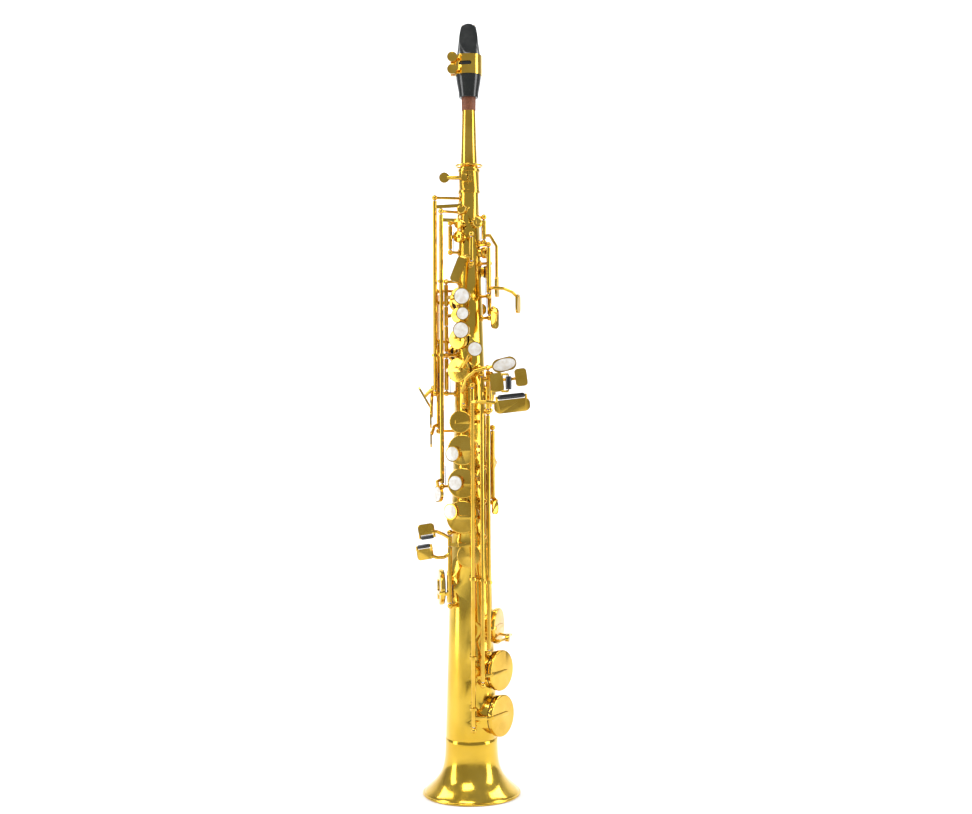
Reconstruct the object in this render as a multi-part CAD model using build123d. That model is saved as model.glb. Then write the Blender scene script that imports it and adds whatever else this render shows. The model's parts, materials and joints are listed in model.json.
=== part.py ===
from build123d import *
from dataclasses import dataclass, field
from math import atan2, cos, degrees, exp, hypot, radians, sin
import os

# Soprano saxophone, in millimetres. It stands on its bell: +Z runs up the bore, the origin is the
# middle of the bell's rim, the player's side is +Y and the finger keys face -Y.
# Round the body an angle of 0 faces -Y and grows towards +X.

# Body, bell and neck
TOP_RADIUS, TOP_Z, TAPER = 8.5, 556.0, 0.0303  # outer radius at TOP_Z, and its growth per mm down
WALL = 0.9
BELL_JOINT_Z, BODY_END_Z = 52.0, 559.0
BELL_RADIUS, THROAT_RADIUS, COLLAR_WALL = 45.0, 24.0, 0.3
RIM_WIDTH, RIM_HIGH, FLARE_RATE, FLARE_POWER = 1.4, 2.0, 0.031, 1.35
RECEIVER_LOW, RECEIVER_HIGH, RECEIVER_RADIUS = 552.0, 574.0, 9.4
TENON_RADIUS, FIT = 8.0, 0.05
NECK_TOP = 652.0
CORK_LOW, CORK_HIGH, CORK_RADIUS = 628.0, 651.0, 6.6
MOUTHPIECE_LOW, MOUTHPIECE_HIGH = 640.0, 710.0
LIGATURE_LOW, LIGATURE_HIGH = 660.5, 678.4
LIGATURE_SCREW_X, LIGATURE_SCREW_HEIGHTS = -14.8, (664.0, 675.2)
TABLE_Y = 6.6         # the flat that the reed lies on
SCREW_Y, SCREW_Z, SCREW_RADIUS = -13.0, 564.6, 1.4

# Keywork
RIM_HEIGHT = 2.2      # tone hole rim above the body
CHIMNEY_WALL = 0.8
SEAT_GAP = 0.3        # closed pad above its rim
CUP_WALL, CUP_HEIGHT, PAD_DEPTH, PAD_PROUD, PAD_FIT = 0.7, 3.6, 2.8, 0.9, 0.05
ROD_RADIUS, TUBE_BORE, TUBE_RADIUS = 1.0, 1.05, 2.0
BALL_RADIUS, POST_RADIUS, GUIDE_BORE = 2.6, 1.3, 2.4
ARM_WIDTH, ARM_DEPTH = 3.2, 1.8
PEARL_DEPTH = 1.6
PIN_RADIUS, PIN_FIT = 0.6, 0.05                         # a roller's pin, and its play
LUG_RADIUS, LUG_GAP, PIN_LEVEL = 1.1, 0.3, 0.9          # the lugs that hold the pin
C_ROLLER_X, C_ROLLER_Y, C_ROLLER_Z = 35.0, -34.4, (371.0, 383.0)

# Fittings on the body
HOOK_Z, REST_Z, STRAP_Z = 268.0, 432.0, 352.0
STRAP_HOLE, STRAP_DEPTH = 3.6, 2.4
GUARD_Z, GUARD_RISE, GUARD_RADIUS = 144.0, 11.7, 1.3    # the low C sharp guard: its rise is over the rim
BUMPER_RADIUS = 2.2


def body_radius(z):
    """Outer radius of the conical body at height z."""
    return TOP_RADIUS + (TOP_Z - z) * TAPER


def around(radius, angle, z):
    """The point at this radius and angle about the bore."""
    return Vector(radius * sin(radians(angle)), -radius * cos(radians(angle)), z)


def facing(angle, z, radius=0.0):
    """A plane that looks out from the bore: X runs round the body, Y up, Z outwards."""
    turn = radians(angle)
    return Plane(around(radius, angle, z), (cos(turn), sin(turn), 0), (sin(turn), -cos(turn), 0))


def drum(plane, radius, low, high):
    """A cylinder on the plane, from height low to height high above it."""
    disc = Cylinder(radius, high - low, align=(Align.CENTER, Align.CENTER, Align.MIN))
    return plane * Pos(0, 0, low) * disc


def bar(start, end, radius):
    """A round bar between two points."""
    start, end = Vector(start), Vector(end)
    return drum(Plane(start, z_dir=end - start), radius, 0, (end - start).length)


def wire(points, radius):
    """The bars of a round wire through the points, and a ball at each corner."""
    bars = [bar(a, b, radius) for a, b in zip(points, points[1:])]
    return bars + [Pos(*point) * Sphere(radius + 0.03) for point in points[1:-1]]


def joined(pieces):
    """The pieces as one solid."""
    return pieces[0].fuse(*pieces[1:])


def band(points, z, width, depth):
    """A flat arm in the plane at height z: depth thick across its path, width along the bore."""
    shape = None
    for (ax, ay), (bx, by) in zip(points, points[1:]):
        slot = SlotCenterToCenter(hypot(bx - ax, by - ay), depth)
        slot = Pos((ax + bx) / 2, (ay + by) / 2) * Rot(0, 0, degrees(atan2(by - ay, bx - ax))) * slot
        shape = slot if shape is None else shape + slot
    return Pos(0, 0, z) * extrude(shape, amount=width / 2, both=True)


def tube(hinge, low, high):
    """A key's hinge tube round its rod."""
    plane = Plane((hinge[0], hinge[1], 0))
    return drum(plane, TUBE_RADIUS, low, high)


def tube_hole(hinge, low, high):
    """The running bore of a hinge tube."""
    return drum(Plane((hinge[0], hinge[1], 0)), TUBE_BORE, low - 1, high + 1)


def plate(plane, width, height, depth, corner):
    """A touch plate with round corners, lying on the plane."""
    return plane * extrude(RectangleRounded(width, height, corner), amount=depth)


# ---------------------------------------------------------------- the keys with cups
@dataclass
class Key:
    """One pad key: its tone hole, its hinge line and what the fingers touch."""
    name: str
    z: float                      # height of the tone hole
    angle: float                  # where the hole looks
    size: float                   # cup diameter
    hinge: tuple                  # hinge line, x and y
    span: tuple                   # ends of the hinge tube
    lift: float = 0.0             # how far an open-standing cup is off its rim, at its middle
    travel: float = 2.5           # how far the cup moves
    arm_z: float = None           # height of the arm, when it isn't the cup's
    wires: list = field(default_factory=list)    # (points, radius)
    plates: list = field(default_factory=list)   # (centre, face, tilt, width, height, depth, corner, roll)
    pearl: tuple = None           # (angle, radius, z, diameter)
    roller: tuple = None          # (place above the plate's middle, half length, radius)

    @property
    def rim(self):
        return body_radius(self.z) + RIM_HEIGHT

    @property
    def reach(self):
        """Cup centre as seen from the hinge: round the body, and outwards."""
        turn, (x, y) = radians(self.angle), self.hinge
        across = x * cos(turn) + y * sin(turn)
        out = x * sin(turn) - y * cos(turn)
        return -across, self.rim + SEAT_GAP - out

    @property
    def opening(self):
        """The turn about +Z, in degrees, that opens the closed cup by its travel."""
        return degrees(self.travel / hypot(*self.reach)) * (-1 if self.reach[0] > 0 else 1)

    @property
    def rest_turn(self):
        """The turn at rest: none for a closed key."""
        return self.opening * self.lift / self.travel


LEFT_STACK, RIGHT_STACK = (-21.5, -0.5), (12.0, -20.9)
LOW_PAIR = (-18.7, -18.7)
PALM_F_LINE, PALM_E_FLAT_LINE, PALM_D_LINE = (13.5, -9.5), (17.6, -13.6), (18.3, -6.9)
SIDE_E_LINE, SIDE_C_LINE, SIDE_B_FLAT_LINE = (-31.5, -6.0), (-30.5, 6.5), (-28.9, -0.3)
HIGH_F_SHARP_LINE, OCTAVE_LINE = (-25.5, -14.0), (-17.4, -4.7)
LOW_B_FLAT_LINE, LOW_B_LINE, C_SHARP_LINE = (2.4, -32.2), (10.8, -30.2), (16.5, -24.5)
G_SHARP_LINE, G_SHARP_LEVER_LINE = (18.4, -9.8), (-5.5, -21.5)
FORK_LINE, FRONT_F_LINE = (20.6, -9.0), (2.0, -19.0)

KEYS = [
    Key("body_octave_key", 511, -40, 11, OCTAVE_LINE, (500.3, 521.4), travel=2.0),
    Key("palm_f_key", 523.5, 30, 10, PALM_F_LINE, (508.8, 526), travel=2.0,
        wires=[([(13.5, -9.5, 512), (19, -12, 512), (25, -12, 502), (25, -12, 463)], 1.4)],
        plates=[((24.5, -11, 465), 70, 0, 9, 19, 1.6, 3.5, 0)]),
    Key("palm_e_flat_key", 497, 70, 11, PALM_E_FLAT_LINE, (459.5, 500.5), travel=2.2,
        wires=[([(17.6, -13.6, 463), (22, -19, 463.5), (31, -18.5, 463), (39, -14, 460),
                 (44.5, -10.5, 455)], 1.5)],
        plates=[((43.5, -10, 449.5), 70, 0, 10, 17.5, 1.8, 4, 0)]),
    Key("palm_d_key", 480, 100, 12, PALM_D_LINE, (440, 484), travel=2.8,
        wires=[([(18.3, -6.9, 442), (22, -14, 446), (24, -17, 441), (23.5, -18, 433)], 1.5)],
        plates=[((22.5, -18, 436), 45, 0, 9, 19.5, 1.6, 4, 0)]),
    Key("high_f_sharp_key", 523, -40, 9.5, HIGH_F_SHARP_LINE, (286.2, 530.9), travel=2.2, arm_z=526,
        wires=[([(-25.5, -14, 290), (-30, -18, 288), (-28.4, -16.6, 278)], 1.4)],
        pearl=(-60, 34.5, 276.5, 13)),
    Key("side_e_key", 536, -28, 9, SIDE_E_LINE, (370.8, 544.4), travel=2.2, arm_z=539,
        wires=[([(-31.5, -6, 373.5), (-36, -3, 371), (-42, 0, 365)], 1.6)],
        plates=[((-40.7, 2.5, 364.5), -90, -30, 9, 23, 1.8, 3.5, 0)]),
    Key("side_c_key", 452, -125, 14, SIDE_C_LINE, (370.8, 459.3), travel=2.4,
        wires=[([(-30.5, 6.5, 375), (-34.5, 4, 374), (-35, -3, 364), (-35.2, -8.5, 356),
                 (-35.4, -9.5, 346)], 1.5)],
        plates=[((-35, -9.5, 344), -88, 0, 9, 15, 1.6, 3.5, 0)]),
    Key("side_b_flat_key", 405, -122, 15, SIDE_B_FLAT_LINE, (336.4, 412.6), travel=2.4, arm_z=402.5,
        wires=[([(-28.9, -0.3, 339.5), (-33, -3, 338), (-35.4, -5, 330)], 1.5)],
        plates=[((-35, -5, 326), -88, 0, 9, 15, 1.6, 3.5, 0)]),
    Key("b_key", 456, -30, 16, LEFT_STACK, (448.2, 467.9), lift=2.2, travel=2.2,
        pearl=(-16, 24.6, 455.8, 13.5)),
    Key("bis_key", 439, -30, 14, LEFT_STACK, (430.2, 447.6), lift=2.2, travel=2.2,
        pearl=(-15, 23.6, 440.2, 10.5)),
    Key("a_key", 417, -28, 19, LEFT_STACK, (406.4, 429.6), lift=2.4, travel=2.4,
        pearl=(-17, 26.0, 425, 13.5)),
    Key("g_key", 389, -25, 22.5, LEFT_STACK, (371.2, 399.8), lift=2.6, travel=2.6,
        wires=[([(-6.5, -24.4, 391), (-1, -26, 400), (3.6, -25.6, 406)], 1.5)],
        pearl=(10, 28.2, 407.7, 12)),
    Key("g_sharp_key", 368, 104, 18, G_SHARP_LINE, (355.4, 379), travel=2.6),
    Key("f_sharp_key", 342, -24, 21, RIGHT_STACK, (330.2, 347.8), lift=2.6, travel=2.6),
    Key("fork_f_sharp_key", 304, 114, 15, FORK_LINE, (271.2, 333.6), travel=2.4,
        wires=[([(20.6, -9, 273), (24, -13, 270), (22, -18, 268)], 1.4)],
        plates=[((22, -18.5, 264), 45, 0, 7, 12, 1.6, 3, 0)]),
    Key("f_key", 316.6, -18, 28, RIGHT_STACK, (303.6, 329.8), lift=3.0, travel=3.0,
        pearl=(-30, 31.8, 313.3, 12.5)),
    Key("e_key", 286.6, -18, 28, RIGHT_STACK, (273.2, 297.6), lift=3.0, travel=3.0,
        pearl=(-25, 31.6, 287, 12.5)),
    Key("d_key", 256, -18, 30, RIGHT_STACK, (241.2, 266.8), lift=3.2, travel=3.2,
        pearl=(-34, 32.4, 261.3, 12.5)),
    Key("e_flat_key", 221, -3, 22, LOW_PAIR, (229.2, 238.4), travel=2.2, arm_z=230.8,
        wires=[([(-18.7, -18.7, 236.5), (-25, -21, 240.5), (-30.5, -24, 243), (-35, -25.2, 243)], 1.6)],
        plates=[((-39.5, -22, 245), -25, 0, 16, 10, 1.8, 3, 10)], roller=(-7.2, 6.0, 1.9)),
    Key("low_c_key", 190, -90, 33, LOW_PAIR, (178.2, 228.8), lift=3.2, travel=3.2, arm_z=186,
        wires=[([(-18.7, -18.7, 222.5), (-24, -21, 219.5), (-30, -24, 219.5), (-35.5, -25.4, 221.5)], 1.6)],
        plates=[((-40.5, -22, 222.5), -25, 0, 16, 10, 1.8, 3, 10)], roller=(7.2, 6.0, 1.9)),
    Key("low_c_sharp_key", 155, 73, 33, C_SHARP_LINE, (136.2, 347.9), travel=2.6),
    Key("low_b_key", 115.5, 64, 37, LOW_B_LINE, (108.2, 382.2), lift=3.4, travel=3.4, arm_z=114,
        wires=[([(10.8, -30.2, 379.5), (17, -29.4, 379.5), (24, -27, 379.5), (38, -26.5, 380.5),
                 (45, -32, 381.5)], 1.4)],
        plates=[((46, -31.6, 382), 14, 0, 11, 16, 1.8, 3, 8)]),
    Key("low_b_flat_key", 74.6, 63, 38, LOW_B_FLAT_LINE, (68.2, 371.8), lift=3.6, travel=3.6, arm_z=76,
        wires=[([(2.4, -32.2, 360), (6, -36.5, 360), (15, -37, 360), (24, -34, 359)], 1.7)],
        plates=[((38, -32, 356.5), 12, 0, 33, 12, 1.8, 5, 6)], roller=(8.6, 12.2, 2.3)),
]


def touch_plane(centre, face, tilt):
    """The plane of a touch plate: it looks towards face, and up by tilt."""
    turn, rise = radians(face), radians(tilt)
    normal = (cos(rise) * sin(turn), -cos(rise) * cos(turn), sin(rise))
    return Plane(centre, (cos(turn), sin(turn), 0), normal)


def touch(centre, face, tilt, width, height, depth, corner, roll):
    """A touch plate in its place."""
    return plate(touch_plane(centre, face, tilt) * Rot(0, 0, roll), width, height, depth, corner)



def beside_plate(key, along, across):
    """A point level with a key's first plate: this far along it, and across it from its middle."""
    centre, face, tilt, *_, roll = key.plates[0]
    return (touch_plane(centre, face, tilt) * Rot(0, 0, roll) * Pos(along, across, PIN_LEVEL)).position


def roller_ends(key, extra=0.0):
    """The ends of a key's roller, beside the plate and along it, or that much further out."""
    across, half, _ = key.roller
    return [beside_plate(key, side * (half + extra), across) for side in (-1, 1)]


def roller_frame(key):
    """The pin that a roller turns on, and the lugs that hold the pin to the plate."""
    across, half, _ = key.roller
    height = key.plates[0][4]
    reach = half + LUG_GAP + LUG_RADIUS
    edge = (height / 2 - 1.5) * (1 if across > 0 else -1)
    pieces = [bar(*roller_ends(key, LUG_GAP + LUG_RADIUS), PIN_RADIUS)]
    for side in (-1, 1):
        root, end = beside_plate(key, side * reach, edge), beside_plate(key, side * reach, across)
        pieces += [bar(root, end, LUG_RADIUS), Pos(*end) * Sphere(LUG_RADIUS + 0.05)]
    return pieces


def closed_cup(key):
    """The cup shell over its rim, and the pad in it, as the closed key holds them."""
    plane, radius = facing(key.angle, key.z), key.size / 2
    base = key.rim + SEAT_GAP + PAD_PROUD
    shell = Cylinder(radius, CUP_HEIGHT, align=(Align.CENTER, Align.CENTER, Align.MIN))
    shell = fillet(shell.edges().sort_by(Axis.Z)[-1], 1.2)
    shell = plane * Pos(0, 0, base) * shell
    shell -= drum(plane, radius - CUP_WALL, base - 1, base - PAD_PROUD + PAD_DEPTH)
    face = key.rim + SEAT_GAP
    return shell, drum(plane, radius - CUP_WALL - PAD_FIT, face, face + PAD_DEPTH - PAD_FIT)


def cup_arm(key):
    """The arm from the hinge tube over the closed cup, with a spine where it crosses off the middle."""
    z = key.z if key.arm_z is None else key.arm_z
    plane = facing(key.angle, z)
    top = key.rim + SEAT_GAP + PAD_PROUD + CUP_HEIGHT + ARM_DEPTH / 2 - 0.3
    side, edge = -key.reach[0], key.size / 2
    hinge_out = key.rim + SEAT_GAP - key.reach[1]
    hand = 1 if side > 0 else -1
    local = [(side, hinge_out)]
    if hinge_out < top - 2:
        local.append((hand * (edge + 1.9), max(hinge_out, key.rim + 1.2)))
        local.append((hand * (edge - 2.0), top))
    else:
        local.append((hand * 0.6 * edge, top))
    local.append((-hand * 0.35 * edge, top))
    path = [plane.from_local_coords((a, 0, b)) for a, b in local]
    arm = band([(p.X, p.Y) for p in path], z, ARM_WIDTH, ARM_DEPTH)
    if abs(z - key.z) < ARM_WIDTH:
        return arm
    spine = facing(key.angle, key.z) * Pos(0, (z - key.z) / 2, top - 0.2)
    length = max(0.55 * key.size, abs(z - key.z) + 3)
    return arm + spine * extrude(SlotOverall(length, ARM_WIDTH, 90), amount=0.9, both=True)


def pearl_seat(angle, radius, z, diameter):
    """The ring holder that a pearl sits in, and the pearl."""
    plane = facing(angle, z)
    holder = drum(plane, diameter / 2 + 1.0, radius - 2.6, radius)
    holder -= drum(plane, diameter / 2, radius - PEARL_DEPTH, radius + 1)
    pearl = drum(plane, diameter / 2, radius - PEARL_DEPTH, radius + 0.9)
    return holder, fillet(pearl.edges().group_by(SortBy.DISTANCE)[-1], 0.6)


def make_key(key):
    """The whole key at rest: metal first, then its pad as a solid of its own."""
    hinge = Axis((key.hinge[0], key.hinge[1], 0), (0, 0, 1))
    shell, pad = closed_cup(key)
    cover = (shell + cup_arm(key)).rotate(hinge, key.rest_turn)
    pad = pad.rotate(hinge, key.rest_turn)
    pieces = [cover, tube(key.hinge, *key.span)]
    for points, radius in key.wires:
        pieces += wire(points, radius)
    pieces += [touch(*spec) for spec in key.plates]
    if key.roller:
        pieces += roller_frame(key)
    pearl = None
    if key.pearl:
        holder, pearl = pearl_seat(*key.pearl)
        pieces.append(holder)
        if key.lift:
            foot = around(key.pearl[1] - 2, key.pearl[0], key.pearl[2])
            root = facing(key.angle, key.z, key.rim + key.lift + 4.9).origin
            pieces.append(bar(root, foot, 1.7))
    metal = joined(pieces) - tube_hole(key.hinge, *key.span)
    return (metal - pearl if pearl else metal), pad, pearl


# ---------------------------------------------------------------- levers without a cup of their own
FRONT_F_SPAN, G_LEVER_SPAN, C_LEVER_SPAN = (488.4, 509.6), (358.8, 371.4), (353.8, 388.0)
THUMB_LINE, THUMB_SPAN = (-7.0, 18.5), (446.0, 516.0)
NECK_HINGE_Y, NECK_HINGE_Z, NECK_HINGE_HALF = 12.6, 592.0, 4.0
RING_Z, RING_RADIUS = 577.6, 12.0
PIP_Z = 607.0


def turned_lever(hinge, span, wires, plates):
    """A lever on a vertical hinge tube, with its wires and touch plates."""
    pieces = [tube(hinge, *span)]
    for points, radius in wires:
        pieces += wire(points, radius)
    pieces += [touch(*spec) for spec in plates]
    return joined(pieces) - tube_hole(hinge, *span)


def make_front_f_key():
    """The front F touch: a slanted plate left of its short hinge tube."""
    x, y = FRONT_F_LINE
    arm = [(x, y, 492), (-3, -21.5, 492), (-6.5, -23, 489)]
    return turned_lever(FRONT_F_LINE, FRONT_F_SPAN, [(arm, 1.5)],
                        [((-9.4, -23.8, 480), -14, 8, 9, 24, 1.6, 3.2, -20)])


def make_g_sharp_lever():
    """The G sharp lever: a curved arm from its tube up to the pearl's oval holder."""
    x, y = G_SHARP_LEVER_LINE
    arm = [(x, y, 368), (-7, -27.5, 370), (-3, -31, 381), (5, -35.3, 388), (15, -35.3, 390.5), (22, -30, 392)]
    body = turned_lever(G_SHARP_LEVER_LINE, G_LEVER_SPAN, [(arm, 1.6)], [])
    place = touch_plane((31, -28.0, 393.5), 8, 0) * Rot(0, 0, 14)
    dish = place * extrude(SlotOverall(22.5, 12.5), amount=2.6)
    dish -= place * Pos(0, 0, 2.6 - PEARL_DEPTH) * extrude(SlotOverall(20.5, 10.5), amount=3)
    pearl = place * Pos(0, 0, 2.6 - PEARL_DEPTH) * extrude(SlotOverall(20.5, 10.5), amount=PEARL_DEPTH + 0.8)
    return joined([body, dish]) - pearl, pearl


def make_low_c_sharp_lever():
    """The low C sharp touch: its plate faces the player's little finger, with an upright roller."""
    x, y = C_SHARP_LINE
    arm = [(x, y, 385.8), (19.5, -31, 385.8), (22, -34.2, 383)]
    low, high = C_ROLLER_Z
    body = turned_lever(C_SHARP_LINE, C_LEVER_SPAN, [(arm, 1.6)],
                        [((24.4, -33.6, 377.4), 6, 0, 12, 17, 1.8, 3, 6)])
    ears = [bar((28.5, -34.4, z), (C_ROLLER_X, C_ROLLER_Y, z), 1.1) for z in (low - 1.6, high + 1.6)]
    pin = bar((C_ROLLER_X, C_ROLLER_Y, low - 1.6), (C_ROLLER_X, C_ROLLER_Y, high + 1.6), 0.6)
    return joined([body, pin, *ears])


def make_octave_lever():
    """The thumb's octave lever behind the body, with the post that lifts the neck key's ring."""
    x, y = THUMB_LINE
    thumb = [(x, y, 452), (-2, 23, 450), (3, 24, 448)]
    post = [(x, y, 511), (-11, 22.5, 514), (-10.5, 20, 530), (-8.4, 13.6, 556), (-7.8, 11.0, 572)]
    return turned_lever(THUMB_LINE, THUMB_SPAN, [(thumb, 1.6), (post, 1.1)],
                        [((6, 23.4, 447), 180, 0, 18, 11, 1.8, 4, 0)])


def neck_tube_bore():
    """The running bore of the neck key's hinge tube."""
    return drum(Plane((0, NECK_HINGE_Y, NECK_HINGE_Z), (0, 1, 0), (1, 0, 0)), TUBE_BORE, -20, 20)


def make_neck_octave_key():
    """The neck key: a ring round the neck's tenon, its hinge and the arm to the pad on the pip."""
    ring = Pos(0, 1.2, RING_Z) * Torus(RING_RADIUS, 0.9)
    ridge = Plane((0, NECK_HINGE_Y, NECK_HINGE_Z), (0, 1, 0), (1, 0, 0))
    arm = [(0, 13.1, RING_Z), (0, 14.4, 585), (0, 14.6, 596), (0, 13.8, 606.9)]
    cup = Plane((0, 13.2, PIP_Z), (1, 0, 0), (0, 1, 0))
    pieces = [ring, drum(ridge, TUBE_RADIUS, -NECK_HINGE_HALF, NECK_HINGE_HALF), *wire(arm, 1.1)]
    pieces += [drum(cup, 3.6, -1.6, 0.8)]
    metal = joined(pieces) - neck_tube_bore() - drum(cup, 3.0, -3, -0.6)
    return metal, drum(cup, 3.0, -2.2, -0.6)


# ---------------------------------------------------------------- body, bell, neck and mouthpiece
def turned(points):
    """A solid of revolution about the bore, from a closed outline of radius and height."""
    return revolve(Plane.XZ * make_face(Polyline(*points, close=True)), Axis.Z)


def bore_cone():
    """The inside of the body: everything within the wall."""
    low, high = BELL_JOINT_Z - 1, BODY_END_Z + 1
    return turned([(0, low), (body_radius(low) - WALL, low), (body_radius(high) - WALL, high), (0, high)])


def make_body_tube():
    """The conical body with its drawn tone holes, each a short chimney with a flat rim."""
    low, high = BELL_JOINT_Z, BODY_END_Z
    body = turned([(0, low), (body_radius(low), low), (body_radius(high), high), (0, high)])
    holes = []
    chimneys = []
    for key in KEYS:
        plane, radius = facing(key.angle, key.z), key.size / 2 - 2.2
        holes.append(drum(plane, radius, 0, key.rim + 5))
        chimneys.append(drum(plane, radius + CHIMNEY_WALL, 0, key.rim))
    return body.fuse(*chimneys) - bore_cone().fuse(*holes)


def flare_radius(z):
    """Outer radius of the bell's flare: widest at the rim, and falling off quickly above it."""
    spread = BELL_RADIUS - RIM_WIDTH - THROAT_RADIUS
    return THROAT_RADIUS + spread * exp(-FLARE_RATE * (z - RIM_HIGH) ** FLARE_POWER)


def make_bell():
    """The flared bell: a collar at the body's end, the flare, and its rolled rim."""
    heights = (44, 38, 32, 27, 22.5, 18.5, 15, 12, 9.5, 7.3, 5.4, 3.8, 2.8, RIM_HIGH)
    outer = [(flare_radius(z), z) for z in heights]
    inner = [(radius - WALL * 0.85, z - WALL * 0.5) for radius, z in outer]
    rim = [(BELL_RADIUS, 2.4), (BELL_RADIUS, 0.6), (BELL_RADIUS - 0.7, 0), (BELL_RADIUS - 3.2, 0)]
    top = [(body_radius(40) - WALL, 48), (body_radius(BELL_JOINT_Z) - WALL, BELL_JOINT_Z)]
    collar = [(body_radius(z) + COLLAR_WALL, z) for z in (BELL_JOINT_Z, 47)]
    return turned([*top, *collar, *outer, *rim, *reversed(inner)])


def make_receiver():
    """The neck receiver: a collar on the body's end, split at the front, with the screw's lug."""
    inner = TENON_RADIUS + FIT
    outline = [(RECEIVER_RADIUS, RECEIVER_LOW), (RECEIVER_RADIUS, RECEIVER_HIGH), (inner, RECEIVER_HIGH)]
    outline += [(inner, BODY_END_Z)]
    outline += [(body_radius(z), z) for z in (BODY_END_Z, RECEIVER_LOW)]
    collar = turned(outline)
    for z in (RECEIVER_LOW + 1.2, RECEIVER_HIGH - 1.2):
        collar += turned([(RECEIVER_RADIUS - 0.3, z - 1.2), (RECEIVER_RADIUS + 0.7, z - 1.2),
                          (RECEIVER_RADIUS + 0.7, z + 1.2), (RECEIVER_RADIUS - 0.3, z + 1.2)])
    lug = Pos(-2, -RECEIVER_RADIUS - 2.2, SCREW_Z) * Box(9, 6.4, 6.4)
    lug -= turned([(0, 540), (inner, 540), (inner, 590), (0, 590)])
    slit = Pos(-1, -RECEIVER_RADIUS - 1, SCREW_Z + 2) * Box(0.8, 10, 16)
    return (collar + lug - slit) - bar((-9, SCREW_Y, SCREW_Z), (5, SCREW_Y, SCREW_Z), SCREW_RADIUS + FIT)


def make_neck_screw():
    """The neck screw: a flat round thumb head, edge on to its stem, which runs through the lug."""
    stem = bar((-20, SCREW_Y, SCREW_Z), (2.3, SCREW_Y, SCREW_Z), SCREW_RADIUS)
    head = bar((-22.4, SCREW_Y - 1.1, SCREW_Z), (-22.4, SCREW_Y + 1.1, SCREW_Z), 4.75)
    neck = bar((-18.4, SCREW_Y, SCREW_Z), (-7.0, SCREW_Y, SCREW_Z), 1.9)
    return joined([stem, head, neck])


NECK_OUTLINE = [(TENON_RADIUS, 559.3), (TENON_RADIUS, RECEIVER_HIGH + 0.3), (8.6, RECEIVER_HIGH + 0.3),
                (8.6, RECEIVER_HIGH + 1.8), (7.6, 580), (7.15, 592), (6.35, 622), (5.4, NECK_TOP)]
NECK_BORE = [(4.4, NECK_TOP), (5.3, 622), (6.2, 592), (6.6, 559.3)]


def make_neck_tube():
    """The straight neck: tenon, collar, tube, the octave pip and the saddle of its key."""
    tube_body = turned([(0, 559.3), *NECK_OUTLINE, (0, NECK_TOP)])
    pip = bar((0, 5, PIP_Z), (0, 10.7, PIP_Z), 1.9)
    half = NECK_HINGE_HALF + FIT * 4
    posts = []
    for side in (-1, 1):
        x = side * (half + 1.3)
        posts.append(bar((x * 0.9, 4.5, NECK_HINGE_Z), (x, NECK_HINGE_Y, NECK_HINGE_Z), 1.2))
        posts.append(Pos(x, NECK_HINGE_Y, NECK_HINGE_Z) * Sphere(1.5))
    rod = bar((-half - 1.3, NECK_HINGE_Y, NECK_HINGE_Z), (half + 1.3, NECK_HINGE_Y, NECK_HINGE_Z), 0.97)
    inside = turned([(0, 558), (6.6, 558), *reversed(NECK_BORE), (4.4, NECK_TOP + 1), (0, NECK_TOP + 1)])
    solid = joined([tube_body, pip, *posts, rod])
    return solid - inside - bar((0, 4, PIP_Z), (0, 12, PIP_Z), 0.8)


def neck_radius(z):
    """Outer radius of the neck's straight cone at height z."""
    return 6.35 + (622 - z) * (6.35 - 5.4) / (NECK_TOP - 622)


def make_neck_cork():
    """The cork sleeve on the neck's end."""
    low, high = CORK_LOW, CORK_HIGH
    sides = [(CORK_RADIUS, low), (CORK_RADIUS, high)]
    return turned([(neck_radius(low), low), *sides, (neck_radius(high), high)])


MOUTHPIECE_OUTLINE = [(8.9, MOUTHPIECE_LOW), (9.3, 644), (11.3, 655), (11.7, LIGATURE_LOW),
                      (11.3, LIGATURE_HIGH), (10.0, 682), (6.9, MOUTHPIECE_HIGH)]


def mouthpiece_outside():
    """The mouthpiece without its bore: turned, then cut to the reed's table and the beak."""
    shape = turned([(0, MOUTHPIECE_LOW), *MOUTHPIECE_OUTLINE, (0, MOUTHPIECE_HIGH)])
    shape -= Pos(0, TABLE_Y + 10, 690) * Box(40, 20, 69.4)
    beak = Polyline((-20, 676), (-10.4, 680), (TABLE_Y - 2, 711), (-20, 715), close=True)
    slope = Plane.YZ * make_face(beak)
    return shape - extrude(slope, amount=30, both=True)


def make_mouthpiece():
    """The mouthpiece with its bore for the cork, its chamber and the window under the reed."""
    bore = drum(Plane.XY, CORK_RADIUS + FIT, MOUTHPIECE_LOW - 1, 668)
    chamber = drum(Plane.XY, 4.6, 660, 690)
    window = Pos(0, 4.5, 690) * Box(9, 6, 30)
    return mouthpiece_outside() - bore - chamber - window


def make_reed():
    """The cane reed on the table: thick at its heel, thin at its tip."""
    low, high = 655.6, 709.2
    side = Polyline((TABLE_Y, low), (TABLE_Y + 2.8, low), (TABLE_Y + 2.6, 680), (TABLE_Y + 0.25, high),
                    (TABLE_Y, high), close=True)
    strip = extrude(Plane.YZ * make_face(side), amount=6.2, both=True)
    return strip & drum(Plane.XY, 10.6, low, high)


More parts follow.
